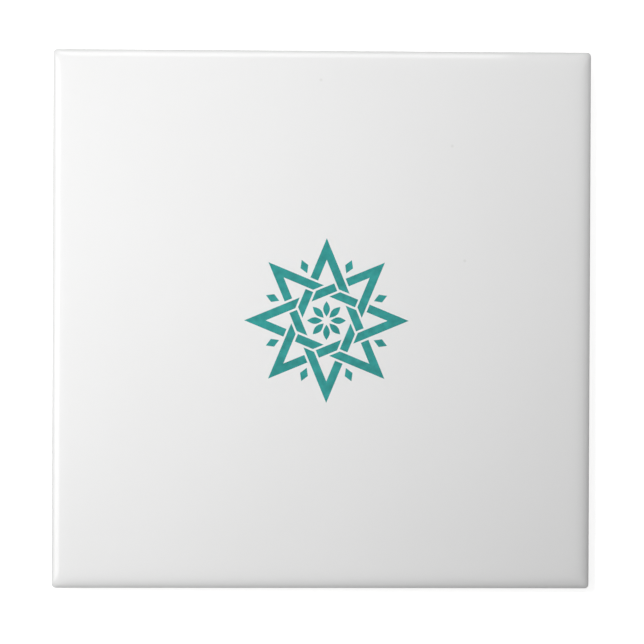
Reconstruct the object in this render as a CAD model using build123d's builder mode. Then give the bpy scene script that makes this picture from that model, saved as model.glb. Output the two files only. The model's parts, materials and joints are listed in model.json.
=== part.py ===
from build123d import *
from math import cos, radians, sin, tan
import os

# A square wall tile, pressed and fired as one piece. It lies on its back with the glazed face up.
# The origin is the centre of the back, on the plane that its ribs rest on, and +Z points out of the face.
# Lengths are in millimetres and angles in degrees.

# Overall size
tile_side = 108.0  # across the rim, where the tile is widest
tile_thickness = 6.0  # from the ribs of the back to the face

# Edge section, from the face down to the back
cushion_width = 5.4  # from the flat face to the rim's round
cushion_slope = 37.0  # steepness of the roll where the rim's round takes over
cushion_power = 5  # the roll drops with this power of the way across it, so slowly at first
rim_radius = 0.35  # rounds the roll over into the side
side_draft = 2.0  # the side leans in by this towards the back
back_arris = 0.4  # bevel between the side and the back

# Corners, seen from above
rim_corner_radius = 0.8
face_corner_radius = 4.0  # of the flat face, where the roll begins

# Keyed back
back_land = 5.0  # plain border from the foot of the side to the recesses
recess_count = 10  # along each side
rib_width = 2.0  # left standing between neighbouring recesses
recess_depth = 0.6
recess_draft = 30.0  # of the recess walls, so that the press lets go
recess_corner = 1.2  # bevel across each corner of a recess

# Outlines that each lofted round passes through
loft_outlines = 7

# Edge section worked out from the sizes above. Insets count from the rim's widest line.
rim_inset = rim_radius * (1 - sin(radians(cushion_slope)))
face_inset = rim_inset + cushion_width
cushion_drop = cushion_width * tan(radians(cushion_slope)) / cushion_power
rim_top = tile_thickness - cushion_drop
rim_centre = rim_top - rim_radius * cos(radians(cushion_slope))
side_slope = 90 + side_draft
side_inset = rim_radius * (1 - sin(radians(side_slope)))
side_top = rim_centre + rim_radius * cos(radians(side_slope))
back_inset = side_inset + side_top * tan(radians(side_draft))

# Recess pattern worked out from the sizes above
recess_field = tile_side - 2 * back_inset - 2 * back_land
recess_pitch = (recess_field + rib_width) / recess_count
recess_side = recess_pitch - rib_width


def outline(inset, height, corner_radius):
    """The tile's rounded square at one height."""
    with BuildSketch(Plane.XY.offset(height)) as level:
        RectangleRounded(tile_side - 2 * inset, tile_side - 2 * inset, corner_radius)
    return level.sketch


def rim_outline(slope):
    """The outline on the rim's round where its surface has this slope."""
    inset = rim_radius * (1 - sin(radians(slope)))
    return outline(inset, rim_centre + rim_radius * cos(radians(slope)), rim_corner_radius)


def cushion_outline(share):
    """The outline this share of the way across the roll from the face. Its corners tighten on the way."""
    inset = face_inset - cushion_width * share
    height = tile_thickness - cushion_drop * share**cushion_power
    return outline(inset, height, face_corner_radius + (rim_corner_radius - face_corner_radius) * share)


def steps(first, last):
    """Even steps from the first value to the last, one for each outline of a lofted round."""
    return [first + (last - first) * step / (loft_outlines - 1) for step in range(loft_outlines)]


with BuildPart() as tile:
    # Side, leaning in from the rim down to the bevelled edge of the back
    extrude(rim_outline(side_slope), amount=-side_top)
    draft(tile.faces().filter_by(Axis.Z, reverse=True), Plane.XY.offset(side_top), -side_draft)
    chamfer(tile.faces().sort_by(Axis.Z)[0].edges(), back_arris)

    # Rim's round, then the roll that levels out into the face
    loft([rim_outline(slope) for slope in steps(side_slope, cushion_slope)])
    loft([cushion_outline(share) for share in steps(1, 0)])

    # Recesses that key the back into its bed
    with BuildSketch(Plane.XY) as recesses:
        with GridLocations(recess_pitch, recess_pitch, recess_count, recess_count):
            Rectangle(recess_side, recess_side)
        chamfer(recesses.vertices(), recess_corner)
    extrude(amount=recess_depth, taper=recess_draft, mode=Mode.SUBTRACT)

tile.part.label = "tile"
os.makedirs("parts", exist_ok=True)
export_step(tile.part, "parts/tile.step")
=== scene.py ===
import json
from math import cos, pi, radians, sin, sqrt, tan

import bmesh
import bpy
from mathutils import Matrix, Vector, geometry

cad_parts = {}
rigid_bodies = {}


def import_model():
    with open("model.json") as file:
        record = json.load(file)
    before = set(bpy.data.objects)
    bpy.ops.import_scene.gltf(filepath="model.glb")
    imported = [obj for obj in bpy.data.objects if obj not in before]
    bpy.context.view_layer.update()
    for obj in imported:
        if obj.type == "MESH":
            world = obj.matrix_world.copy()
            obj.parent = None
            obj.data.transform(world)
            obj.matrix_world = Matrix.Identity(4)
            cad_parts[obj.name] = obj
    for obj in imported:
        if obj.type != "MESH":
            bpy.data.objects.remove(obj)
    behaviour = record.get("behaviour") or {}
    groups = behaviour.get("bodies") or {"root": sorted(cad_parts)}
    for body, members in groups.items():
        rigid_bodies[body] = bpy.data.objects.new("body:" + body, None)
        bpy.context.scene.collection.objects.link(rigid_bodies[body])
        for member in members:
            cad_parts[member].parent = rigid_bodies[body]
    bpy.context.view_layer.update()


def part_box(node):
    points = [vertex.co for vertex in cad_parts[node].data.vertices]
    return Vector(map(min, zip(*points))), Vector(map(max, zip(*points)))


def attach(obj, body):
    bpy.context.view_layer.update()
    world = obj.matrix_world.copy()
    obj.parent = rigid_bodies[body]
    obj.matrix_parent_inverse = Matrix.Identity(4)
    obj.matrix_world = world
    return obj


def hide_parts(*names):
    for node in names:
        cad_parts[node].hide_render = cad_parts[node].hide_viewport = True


# A white glazed wall tile with a teal star, lying on its back and seen from straight above.
# Lengths are in metres and angles in degrees. +Z points out of the glazed face.

for leftover in list(bpy.data.objects):
    bpy.data.objects.remove(leftover)
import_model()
mm = 0.001

# Tile: its box comes from the frame, and its edge section repeats the solid's
tile_low, tile_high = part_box("tile")
tile_side = tile_high.x - tile_low.x
cushion_width = 5.4 * mm
cushion_slope = 37
cushion_power = 5
rim_radius = 0.35 * mm
side_draft = 2
side_slope = 90 + side_draft
back_arris = 0.4 * mm
rim_corner_radius = 0.8 * mm
face_corner_radius = 4.0 * mm

# Keyed back, as on the solid
back_land = 5.0 * mm
recess_count = 10
rib_width = 2.0 * mm
recess_depth = 0.6 * mm
recess_draft = 30
recess_corner = 1.2 * mm

# Glaze: it ends in a rounded lip part of the way down the side, on a line that wanders
glaze_depth = 0.10 * mm
glaze_foot = 2.5 * mm
lip_height = 0.22 * mm
glaze_ripples = (  # cycles round the tile, height and starting angle of each
    (5, 0.16 * mm, 20),
    (13, 0.12 * mm, 120),
    (29, 0.07 * mm, 230),
    (53, 0.04 * mm, 70),
)

# Small marks: painted shade greys the glaze along the rim, and the face has a few faint specks
rim_shade_spread = 0.5 * mm  # above and below the level where the painted rim shade is darkest
speck_places = (Vector((-0.4, 48.0)) * mm, Vector((26.0, 34.9)) * mm, Vector((28.6, 11.9)) * mm)
speck_core = 0.16 * mm  # radius that has the speck's full colour
speck_radius = 0.4 * mm  # radius where it has faded out

# Steps that the curved surfaces are divided into
side_steps = 90
corner_steps = 10
cushion_steps = 24
rim_steps = 12
lip_steps = 4
face_margin = 1.0 * mm  # flat strip inside the roll, which keeps the face's shading level
crease_angle = 30
fill_tolerance = 0.0001 * mm  # corners closer than this count as one where a flat is filled

# Star print: a film fired onto the face, whose top is the highest level of the tile
print_film = 0.015 * mm
print_root = 0.02 * mm  # how far the film reaches into the glaze
star_centre = Vector((0.9 * mm, -0.2 * mm))
star_points = 8
star_tip_radius = 16.5 * mm
band_width = 1.65 * mm
band_gap = 0.42 * mm  # left clear beside a band that passes over another
petal_start = 0.8 * mm
petal_end = 3.9 * mm
petal_width = 1.35 * mm
petal_steps = 8
lozenge_radius = 11.7 * mm
lozenge_length = 2.9 * mm
lozenge_width = 1.7 * mm

# Colours
white_glaze = ((0.866, 0.866, 0.863), (0.875, 0.875, 0.873))
speck_glaze = (0.80, 0.80, 0.79)
# Grey of the painted shade along the rim
rim_shade_grey = (0.71, 0.71, 0.71)
teal_print = ((0.0, 0.244, 0.228), (0.014, 0.350, 0.330))
cream_bisque = ((0.66, 0.60, 0.50), (0.76, 0.71, 0.62))
white = (1, 1, 1)

# Finish: each cloud, wave or grain is a length and the number of finer layers on it
noise_range = (0.3, 0.7)  # values that the noise mostly keeps between
glaze_clouds = (25 * mm, 3)
glaze_gloss = (12 * mm, 2)
glaze_roughness = (0.05, 0.09)
glaze_waves = (7 * mm, 1)
glaze_wave_depth = 0.012 * mm
print_clouds = (1.6 * mm, 3)
print_gloss = (3 * mm, 2)
print_roughness = (0.07, 0.13)
bisque_clouds = (4 * mm, 6)
bisque_dust = (6 * mm, 3)
bisque_roughness = (0.8, 0.95)
bisque_grain = (0.35 * mm, 2)
bisque_grain_depth = 0.03 * mm
bisque_lumps = (1.5 * mm, 3)
bisque_lump_depth = 0.05 * mm

# Camera
camera_lens = 100
camera_place = Vector((-7.41, 1.03, 364.33)) * mm
camera_turn = (-0.247, -1.183, 0.239)  # about X, Y and Z, from looking straight down

# Light: soft panels beyond the left and upper edges, a high lamp, a low lamp and an even fill
left_place = Vector((-0.197, -0.012, 0.137))
left_size = (0.200, 0.113)
left_power = 0.180
top_place = Vector((-0.0305, 0.235, 0.164))
top_size = (0.195, 0.113)
top_power = 0.155
lamp_radius = 0.02
high_lamp_place = Vector((-0.057, 0.024, 0.236))
high_lamp_power = 1.07
low_lamp_place = Vector((0.075, 0.188, 0.075))
low_lamp_power = 0.123
fill_strength = 0.166
white_strength = 1  # glow that shows as plain white

# Floor
floor_side = 4.0
floor_drop = 0.05 * mm
floor_colour = (0.6, 0.6, 0.6)
floor_glow = 0.805  # added for the camera, so that the floor shows white round the shadow
floor_fade = (0.10, 0.20)  # distances between which the floor turns plain white

# Edge section worked out from the sizes above. Insets count from the rim's widest line.
face_height = tile_high.z - print_film
rim_inset = rim_radius * (1 - sin(radians(cushion_slope)))
face_inset = rim_inset + cushion_width
cushion_drop = cushion_width * tan(radians(cushion_slope)) / cushion_power
rim_centre = face_height - cushion_drop - rim_radius * cos(radians(cushion_slope))
side_top = rim_centre + rim_radius * cos(radians(side_slope))
# Level of the rim where the painted shade is darkest
rim_shade_height = rim_centre + rim_radius / 2

# Numbers of the materials on the tile and on the print, and of the way that a flat is filled
GLAZE, BISQUE = 0, 1
PRINT = 0
FILL_TRIANGLES = 1  # triangles, each with the numbers of the outlines that it lies in


def steps(first, last, count):
    """Even steps from the first value to the last, both included."""
    return [first + (last - first) * step / count for step in range(count + 1)]


def side_inset(height):
    """How far the glazed side leans in at this height."""
    return rim_radius * (1 - sin(radians(side_slope))) + (side_top - height) * tan(radians(side_draft))


def outline(inset, corner_radius):
    """Points of the tile's rounded square, anticlockwise seen from above."""
    half = tile_side / 2 - inset
    straight = half - corner_radius
    points = []
    for quarter in range(4):
        turn = Matrix.Rotation(radians(90 * quarter), 2)
        for step in range(side_steps):
            points.append(turn @ Vector((half, straight * (2 * step / side_steps - 1))))
        for step in range(corner_steps):
            angle = radians(90 * step / corner_steps)
            arm = corner_radius * Vector((cos(angle), sin(angle)))
            points.append(turn @ (Vector((straight, straight)) + arm))
    return points


def glaze_line():
    """Heights where the glaze ends, one for each point of an outline."""
    count = 4 * (side_steps + corner_steps)
    return [
        glaze_foot + sum(
            size * sin(2 * pi * cycles * point / count + radians(start))
            for cycles, size, start in glaze_ripples
        )
        for point in range(count)
    ]


def level_ring(mesh, inset, height, corner_radius):
    """A ring of vertices at one height."""
    return [mesh.verts.new((*point, height)) for point in outline(inset, corner_radius)]


def wavy_ring(mesh, inset, rise):
    """A ring of vertices along the end of the glaze, this far in from the glazed side and above the end."""
    ring = []
    base = outline(inset + side_inset(glaze_foot), rim_corner_radius)
    for point, line in zip(base, glaze_line()):
        ring.append(mesh.verts.new((*point, line + rise)))
    return ring


def join_rings(mesh, upper, lower, finish):
    """Quads between two rings of equal count, facing outwards."""
    for here in range(len(upper)):
        after = (here + 1) % len(upper)
        quad = mesh.faces.new((upper[here], lower[here], lower[after], upper[after]))
        quad.material_index = finish


def cushion_rings(mesh):
    """Rings from the face's flat strip, down the roll and round the rim to the top of the side."""
    rings = [level_ring(mesh, face_inset + face_margin, face_height, face_corner_radius)]
    for share in steps(0, 1, cushion_steps):
        inset = face_inset - cushion_width * share
        height = face_height - cushion_drop * share**cushion_power
        radius = face_corner_radius + (rim_corner_radius - face_corner_radius) * share
        rings.append(level_ring(mesh, inset, height, radius))
    for slope in steps(cushion_slope, side_slope, rim_steps)[1:]:
        inset = rim_radius * (1 - sin(radians(slope)))
        height = rim_centre + rim_radius * cos(radians(slope))
        rings.append(level_ring(mesh, inset, height, rim_corner_radius))
    return rings


def lip_rings(mesh):
    """Rings round the lip where the glaze ends, the last one on the bare side."""
    rings = []
    for angle in steps(0, 90, lip_steps):
        inset = glaze_depth * (1 - cos(radians(angle)))
        rise = lip_height * (1 - sin(radians(angle)))
        rings.append(wavy_ring(mesh, inset, rise))
    return rings


def bare_rings(mesh):
    """Rings at the foot of the bare side and at the edge of the back."""
    foot = side_inset(back_arris) + glaze_depth
    back = side_inset(0) + glaze_depth + back_arris
    return [
        level_ring(mesh, foot, back_arris, rim_corner_radius),
        level_ring(mesh, back, 0, rim_corner_radius),
    ]


def recess_ring(mesh, centre, half, bevel, height):
    """Eight corners of a recess, a square with its corners cut off."""
    straight = half - bevel
    ring = []
    for quarter in range(4):
        turn = Matrix.Rotation(radians(90 * quarter), 2)
        for point in ((half, -straight), (half, straight)):
            ring.append(mesh.verts.new((*(centre + turn @ Vector(point)), height)))
    return ring


def recess_rims(mesh):
    """Sinks the recesses into the back and returns their rims."""
    field = tile_side - 2 * side_inset(0) - 2 * back_land
    pitch = (field + rib_width) / recess_count
    half = (pitch - rib_width) / 2
    narrowing = recess_depth * tan(radians(recess_draft))
    floor_corner = recess_corner - narrowing * (2 - sqrt(2))
    rims = []
    for row in range(recess_count):
        for column in range(recess_count):
            centre = pitch * (Vector((column, row)) - Vector((1, 1)) * (recess_count - 1) / 2)
            rim = recess_ring(mesh, centre, half, recess_corner, 0)
            floor = recess_ring(mesh, centre, half - narrowing, floor_corner, recess_depth)
            join_rings(mesh, floor, rim, BISQUE)
            mesh.faces.new(floor).material_index = BISQUE
            rims.append(rim)
    return rims


def fill_flat(mesh, edge, holes, finish):
    """Fills a level outline, apart from its holes, with triangles that all have some width."""
    loops = [edge, *holes]
    corners = [vertex for loop in loops for vertex in loop]
    order = iter(range(len(corners)))
    numbers = [[next(order) for vertex in loop] for loop in loops]
    places = [vertex.co.xy for vertex in corners]
    _, _, triangles, sources, _, regions = geometry.delaunay_2d_cdt(
        places, [], numbers, FILL_TRIANGLES, fill_tolerance
    )
    edge_alone = [0]  # in the first outline and in no hole
    for triangle, region in zip(triangles, regions):
        if region == edge_alone:
            face = mesh.faces.new([corners[sources[point][0]] for point in triangle])
            face.material_index = finish


def add_piece(name, mesh, materials):
    """A piece of the object made from a bmesh, riding on the tile's body."""
    bmesh.ops.recalc_face_normals(mesh, faces=mesh.faces)
    for face in mesh.faces:
        face.smooth = True
    data = bpy.data.meshes.new(name)
    mesh.to_mesh(data)
    mesh.free()
    data.set_sharp_from_angle(angle=radians(crease_angle))
    for material in materials:
        data.materials.append(material)
    piece = bpy.data.objects.new(name, data)
    bpy.context.scene.collection.objects.link(piece)
    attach(piece, "root")
    return piece


def add_tile(glaze, bisque):
    """The tile as one closed mesh, glazed above its lip and bare below."""
    mesh = bmesh.new()
    glazed = cushion_rings(mesh) + lip_rings(mesh)
    bare = [glazed[-1], *bare_rings(mesh)]
    fill_flat(mesh, glazed[0], [], GLAZE)
    for upper, lower in zip(glazed, glazed[1:]):
        join_rings(mesh, upper, lower, GLAZE)
    for upper, lower in zip(bare, bare[1:]):
        join_rings(mesh, upper, lower, BISQUE)
    fill_flat(mesh, bare[-1], recess_rims(mesh), BISQUE)
    tile = add_piece("glazed_tile", mesh, [glaze, bisque])
    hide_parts("tile")


# The star's straight bands are numbered round it. A band crosses those one and two numbers away,
# and at the star's tips it turns into those three numbers away.


def band_point(chord, along, across):
    """A point on a band: along it from its middle, and outwards from its centre line."""
    centre_radius = star_tip_radius - band_width / 2 / sin(pi / star_points)
    offset = centre_radius * sin(pi / star_points)
    return Matrix.Rotation(2 * pi * chord / star_points, 2) @ Vector((along, offset + across))


def band_crossing(chord, other):
    """How far along one band the centre line of another crosses it, and at which angle."""
    angle = 2 * pi * (other - chord) / star_points
    return -band_point(0, 0, 0).y * tan(angle / 2), angle


def band_end(chord, over, side):
    """Inner and outer corner of a band's end, cut clear of the band that passes over it."""
    middle, angle = band_crossing(chord, over)
    clear = (band_width / 2 + band_gap) / abs(sin(angle))
    return [
        band_point(chord, middle + side * clear + across / tan(angle), across)
        for across in (-band_width / 2, band_width / 2)
    ]


def star_bar(chord):
    """The straight stretch of a band, between the two bands that pass over it."""
    inner_start, outer_start = band_end(chord, chord + 1, 1)
    inner_end, outer_end = band_end(chord, chord - 2, -1)
    return [inner_start, inner_end, outer_end, outer_start]


def star_tip(chord):
    """The stretch where a band turns round a tip of the star into the next band."""
    inner_start, outer_start = band_end(chord, chord - 2, 1)
    inner_end, outer_end = band_end(chord - 3, chord - 2, -1)
    middle, angle = band_crossing(chord, chord - 3)
    mitre = band_width / 2 * tan(-angle / 2)
    outer_tip = band_point(chord, middle + mitre, band_width / 2)
    inner_tip = band_point(chord, middle - mitre, -band_width / 2)
    return [inner_start, inner_tip, inner_end, outer_end, outer_tip, outer_start]


def star_petal(turn):
    """An almond pointing outwards, one of the rosette inside the star."""
    shares = [step / petal_steps for step in range(petal_steps)]
    sides = [(share, -1) for share in shares] + [(1 - share, 1) for share in shares]
    return [
        turn @ Vector((
            petal_start + (petal_end - petal_start) * share,
            side * petal_width / 2 * sin(pi * share),
        ))
        for share, side in sides
    ]


def star_lozenge(turn):
    """A lozenge in the notch between two tips."""
    length, width = lozenge_length / 2, lozenge_width / 2
    return [
        turn @ (Vector((lozenge_radius, 0)) + Vector(corner))
        for corner in ((-length, 0), (0, -width), (length, 0), (0, width))
    ]


def star_shapes():
    """Outlines of the whole print, anticlockwise, about the star's own centre."""
    shapes = []
    for point in range(star_points):
        on_notch = Matrix.Rotation(2 * pi * point / star_points, 2)
        on_tip = Matrix.Rotation(2 * pi * (point + 0.5) / star_points, 2)
        shapes += [star_bar(point), star_tip(point), star_petal(on_tip), star_lozenge(on_notch)]
    return shapes


def add_print(material):
    """The star as a thin film with its foot in the glaze, one tip pointing up."""
    mesh = bmesh.new()
    tip_up = Matrix.Rotation(pi / star_points, 2)
    for shape in star_shapes():
        points = [star_centre + tip_up @ point for point in shape]
        top = [mesh.verts.new((*point, face_height + print_film)) for point in points]
        foot = [mesh.verts.new((*point, face_height - print_root)) for point in points]
        mesh.faces.new(top)
        mesh.faces.new(foot[::-1])
        join_rings(mesh, top, foot, PRINT)
    add_piece("star_print", mesh, [material])


def add_node(tree, kind, values=(), **settings):
    """A new shader node with these settings and socket values."""
    node = tree.nodes.new(kind)
    for name, value in settings.items():
        setattr(node, name, value)
    for socket, value in dict(values).items():
        node.inputs[socket].default_value = value
    return node


def new_material(name):
    """A node material with its tree, its shader and the surface's own coordinates."""
    material = bpy.data.materials.new(name)
    material.use_nodes = True
    tree = material.node_tree
    shader = tree.nodes["Principled BSDF"]
    place = add_node(tree, "ShaderNodeTexCoord").outputs["Object"]
    return material, tree, shader, place


def add_noise(tree, place, waves):
    """Noise with waves of a length and finer layers on them."""
    length, layers = waves
    noise = add_node(tree, "ShaderNodeTexNoise", {"Scale": 1 / length, "Detail": layers})
    tree.links.new(place, noise.inputs["Vector"])
    return noise.outputs["Fac"]


def add_colours(tree, factor, colours):
    """A colour that moves between two with the noise."""
    ramp = add_node(tree, "ShaderNodeValToRGB")
    for element, colour, position in zip(ramp.color_ramp.elements, colours, noise_range):
        element.color = (*colour, 1)
        element.position = position
    tree.links.new(factor, ramp.inputs["Fac"])
    return ramp.outputs["Color"]


def add_map(tree, number, source, target):
    """A number carried over from one range to another, and held at its ends."""
    sockets = ("From Min", "From Max", "To Min", "To Max")
    carried = add_node(tree, "ShaderNodeMapRange", zip(sockets, (*source, *target)))
    tree.links.new(number, carried.inputs["Value"])
    return carried.outputs["Result"]


def add_blend(tree, share, colour, other):
    """A colour that gives way to another by the share."""
    blend = add_node(tree, "ShaderNodeMixRGB", {"Color2": (*other, 1)})
    tree.links.new(share, blend.inputs["Fac"])
    tree.links.new(colour, blend.inputs["Color1"])
    return blend.outputs["Color"]


def add_mix(tree, share, shader, other):
    """A shader that gives way to another by the share."""
    mix = add_node(tree, "ShaderNodeMixShader")
    for socket, output in enumerate((share, shader, other)):
        tree.links.new(output, mix.inputs[socket])
    return mix.outputs["Shader"]


def add_bump(tree, shader, height, depth, below=None):
    """Relief of this depth, on top of the relief below it."""
    bump = add_node(tree, "ShaderNodeBump", {"Strength": 1, "Distance": depth})
    tree.links.new(height, bump.inputs["Height"])
    if below:
        tree.links.new(below, bump.inputs["Normal"])
    tree.links.new(bump.outputs["Normal"], shader.inputs["Normal"])
    return bump.outputs["Normal"]


def add_specks(tree, place, colour):
    """The colour with the few faint specks of the face in it."""
    for speck in speck_places:
        middle = (*speck, face_height)
        distance = add_node(tree, "ShaderNodeVectorMath", {1: middle}, operation="DISTANCE")
        tree.links.new(place, distance.inputs[0])
        spot = add_map(tree, distance.outputs["Value"], (speck_core, speck_radius), (1, 0))
        colour = add_blend(tree, spot, colour, speck_glaze)
    return colour


def add_rim_shade(tree, place, colour):
    """The colour turning greyer along the rim: painted shade."""
    parts = add_node(tree, "ShaderNodeSeparateXYZ")
    tree.links.new(place, parts.inputs["Vector"])
    above = add_node(tree, "ShaderNodeMath", {1: rim_shade_height}, operation="SUBTRACT")
    tree.links.new(parts.outputs["Z"], above.inputs[0])
    distance = add_node(tree, "ShaderNodeMath", operation="ABSOLUTE")
    tree.links.new(above.outputs["Value"], distance.inputs[0])
    rim_shade_share = add_map(tree, distance.outputs["Value"], (0, rim_shade_spread), (1, 0))
    return add_blend(tree, rim_shade_share, colour, rim_shade_grey)


def glaze_material():
    """White gloss glaze: cloudy by a trace, a little uneven, with a few specks and painted shade along the
    rim.
    """
    material, tree, shader, place = new_material("glaze")
    colour = add_colours(tree, add_noise(tree, place, glaze_clouds), white_glaze)
    # Specks, then painted shade along the rim
    colour = add_rim_shade(tree, place, add_specks(tree, place, colour))
    tree.links.new(colour, shader.inputs["Base Color"])
    gloss = add_map(tree, add_noise(tree, place, glaze_gloss), noise_range, glaze_roughness)
    tree.links.new(gloss, shader.inputs["Roughness"])
    add_bump(tree, shader, add_noise(tree, place, glaze_waves), glaze_wave_depth)
    return material


def print_material():
    """Teal ceramic ink under the same gloss, laid down a little unevenly."""
    material, tree, shader, place = new_material("print")
    colour = add_colours(tree, add_noise(tree, place, print_clouds), teal_print)
    tree.links.new(colour, shader.inputs["Base Color"])
    gloss = add_map(tree, add_noise(tree, place, print_gloss), noise_range, print_roughness)
    tree.links.new(gloss, shader.inputs["Roughness"])
    add_bump(tree, shader, add_noise(tree, place, glaze_waves), glaze_wave_depth)
    return material


def bisque_material():
    """Bare fired clay: cream, matt and grainy."""
    material, tree, shader, place = new_material("bisque")
    colour = add_colours(tree, add_noise(tree, place, bisque_clouds), cream_bisque)
    tree.links.new(colour, shader.inputs["Base Color"])
    dust = add_map(tree, add_noise(tree, place, bisque_dust), noise_range, bisque_roughness)
    tree.links.new(dust, shader.inputs["Roughness"])
    grain = add_bump(tree, shader, add_noise(tree, place, bisque_grain), bisque_grain_depth)
    add_bump(tree, shader, add_noise(tree, place, bisque_lumps), bisque_lump_depth, grain)
    return material


def seen_ray(tree):
    """1 for rays that show the background itself: camera, glossy and transmission rays."""
    path = add_node(tree, "ShaderNodeLightPath")
    seen = path.outputs["Is Camera Ray"]
    for ray in ("Is Glossy Ray", "Is Transmission Ray"):
        both = add_node(tree, "ShaderNodeMath", operation="MAXIMUM")
        tree.links.new(seen, both.inputs[0])
        tree.links.new(path.outputs[ray], both.inputs[1])
        seen = both.outputs["Value"]
    return seen


def add_world():
    """An even pale fill, which the camera sees as plain white."""
    world = bpy.data.worlds.new("studio")
    bpy.context.scene.world = world
    world.use_nodes = True
    tree = world.node_tree
    fill = tree.nodes["Background"]
    fill.inputs["Color"].default_value = (*white, 1)
    fill.inputs["Strength"].default_value = fill_strength
    plain = add_node(tree, "ShaderNodeBackground", {"Color": (*white, 1), "Strength": white_strength})
    sky = add_mix(tree, seen_ray(tree), fill.outputs["Background"], plain.outputs["Background"])
    tree.links.new(sky, tree.nodes["World Output"].inputs["Surface"])


def floor_material():
    """White floor that keeps the tile's shadow and fades into the white background."""
    material = bpy.data.materials.new("floor")
    material.use_nodes = True
    tree = material.node_tree
    tree.nodes.remove(tree.nodes["Principled BSDF"])
    matt = add_node(tree, "ShaderNodeBsdfDiffuse", {"Color": (*floor_colour, 1)})
    glow = add_node(tree, "ShaderNodeEmission", {"Color": (*white, 1), "Strength": floor_glow})
    lit = add_node(tree, "ShaderNodeAddShader")
    tree.links.new(matt.outputs["BSDF"], lit.inputs[0])
    tree.links.new(glow.outputs["Emission"], lit.inputs[1])
    place = add_node(tree, "ShaderNodeTexCoord").outputs["Object"]
    distance = add_node(tree, "ShaderNodeVectorMath", operation="LENGTH")
    tree.links.new(place, distance.inputs[0])
    fade = add_map(tree, distance.outputs["Value"], floor_fade, (0, 1))
    plain = add_node(tree, "ShaderNodeEmission", {"Color": (*white, 1), "Strength": white_strength})
    shown = add_mix(tree, fade, lit.outputs["Shader"], plain.outputs["Emission"])
    surface = add_mix(tree, seen_ray(tree), matt.outputs["BSDF"], shown)
    tree.links.new(surface, tree.nodes["Material Output"].inputs["Surface"])
    return material


def add_floor():
    """The plane that the tile lies on."""
    mesh = bmesh.new()
    bmesh.ops.create_grid(mesh, x_segments=1, y_segments=1, size=floor_side / 2)
    data = bpy.data.meshes.new("floor")
    mesh.to_mesh(data)
    mesh.free()
    data.materials.append(floor_material())
    floor = bpy.data.objects.new("floor", data)
    floor.location.z = tile_low.z - floor_drop
    bpy.context.scene.collection.objects.link(floor)


def add_light(name, kind, place, power):
    """A light that isn't itself in the picture."""
    light = bpy.data.objects.new(name, bpy.data.lights.new(name, kind))
    light.data.energy = power
    light.location = place
    light.visible_camera = False
    bpy.context.scene.collection.objects.link(light)
    return light


def add_panel(name, place, size, power, along):
    """A soft panel with its long side along an axis, turned towards the tile's middle line."""
    panel = add_light(name, "AREA", place, power)
    panel.data.shape = "RECTANGLE"
    panel.data.size, panel.data.size_y = size
    back = place - along * place.dot(along) - Vector((0, 0, face_height))
    back.normalize()
    panel.rotation_euler = Matrix((along, back.cross(along), back)).transposed().to_euler()


def add_lamp(name, place, power):
    """A small lamp that the glaze doesn't reflect."""
    lamp = add_light(name, "POINT", place, power)
    lamp.data.shadow_soft_size = lamp_radius
    lamp.visible_glossy = False
    lamp.data.cycles.use_multiple_importance_sampling = False  # or a trace of it still shows


def add_camera():
    """The camera above the face, with +Y up in the picture."""
    camera = bpy.data.objects.new("camera", bpy.data.cameras.new("camera"))
    camera.data.lens = camera_lens
    camera.location = camera_place
    camera.rotation_euler = [radians(angle) for angle in camera_turn]
    bpy.context.scene.collection.objects.link(camera)
    bpy.context.scene.camera = camera


add_camera()
add_tile(glaze_material(), bisque_material())
add_print(print_material())
add_floor()
add_panel("left_panel", left_place, left_size, left_power, Vector((0, 1, 0)))
add_panel("top_panel", top_place, top_size, top_power, Vector((1, 0, 0)))
add_lamp("high_lamp", high_lamp_place, high_lamp_power)
add_lamp("low_lamp", low_lamp_place, low_lamp_power)
add_world()
bpy.context.scene.view_settings.view_transform = "Standard"
